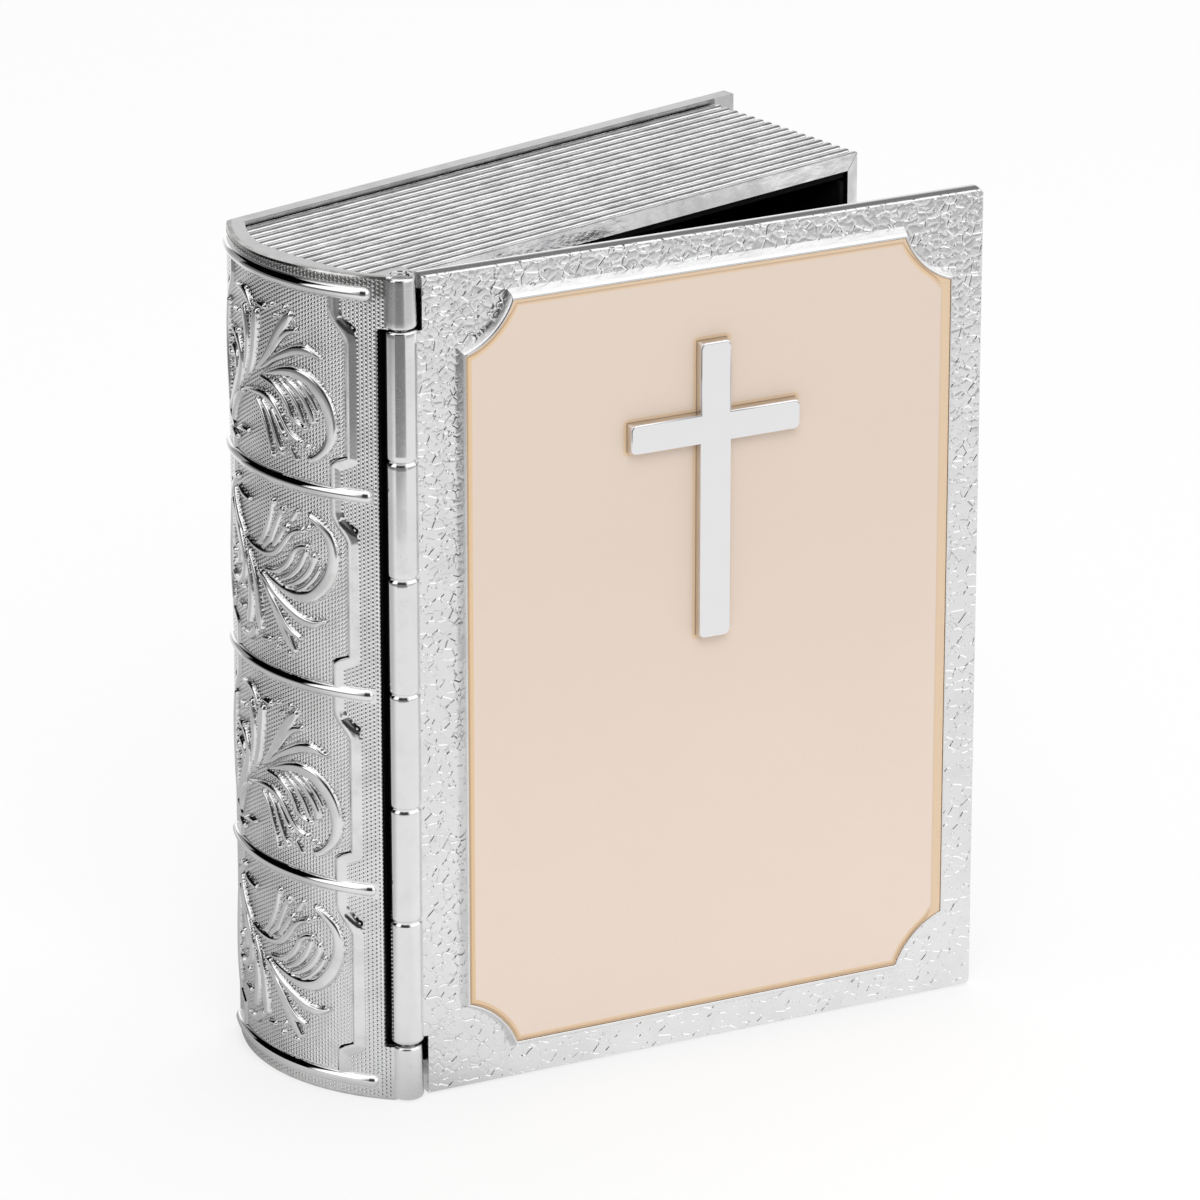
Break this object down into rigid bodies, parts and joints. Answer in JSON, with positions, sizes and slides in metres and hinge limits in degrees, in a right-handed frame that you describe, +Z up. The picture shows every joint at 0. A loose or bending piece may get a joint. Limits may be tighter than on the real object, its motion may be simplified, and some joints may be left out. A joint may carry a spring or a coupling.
{
  "type": "trinket box",
  "caption": "Book-shaped silver-plated trinket box with a rounded spine, raised bands, ribbed page edges and a hinged front cover that holds an enamel panel and a plain cross.",
  "frame": {"origin": "middle of the back board's lower edge, on the surface that the box stands on", "axes": "+Z up along the spine, +Y out of the back board, +X from the spine towards the fore-edge; the front cover faces -Y"},
  "size_m": [0.0568, 0.0336, 0.07],
  "materials": {
    "silver_plate": "bright silver plate over cast metal, softly polished",
    "polished_silver": "mirror-polished silver plate",
    "pin_steel": "plain drawn steel",
    "beige_enamel": "smooth poured cold enamel, beige",
    "black_velvet": "short black velvet on card"
  },
  "bodies": {
    "case": {"case_shell": "silver_plate", "head_page_strip": "silver_plate", "fore_edge_page_strip": "silver_plate", "tail_page_strip": "silver_plate", "upper_hinge_pin": "pin_steel", "lower_hinge_pin": "pin_steel", "lining_floor": "black_velvet", "lining_head": "black_velvet", "lining_tail": "black_velvet", "lining_fore_edge": "black_velvet", "lining_spine": "black_velvet"},
    "cover": {"front_cover": "silver_plate", "enamel_panel": "beige_enamel", "cross": "polished_silver", "cover_lining": "black_velvet"}
  },
  "joints": [
    {"name": "cover_hinge", "type": "hinge", "parent": "case", "child": "cover", "pos_m": [-0.02502, -0.0194, 0.035], "axis": [0, 0, -1], "range_deg": [-14.7, 135.3]}
  ]
}
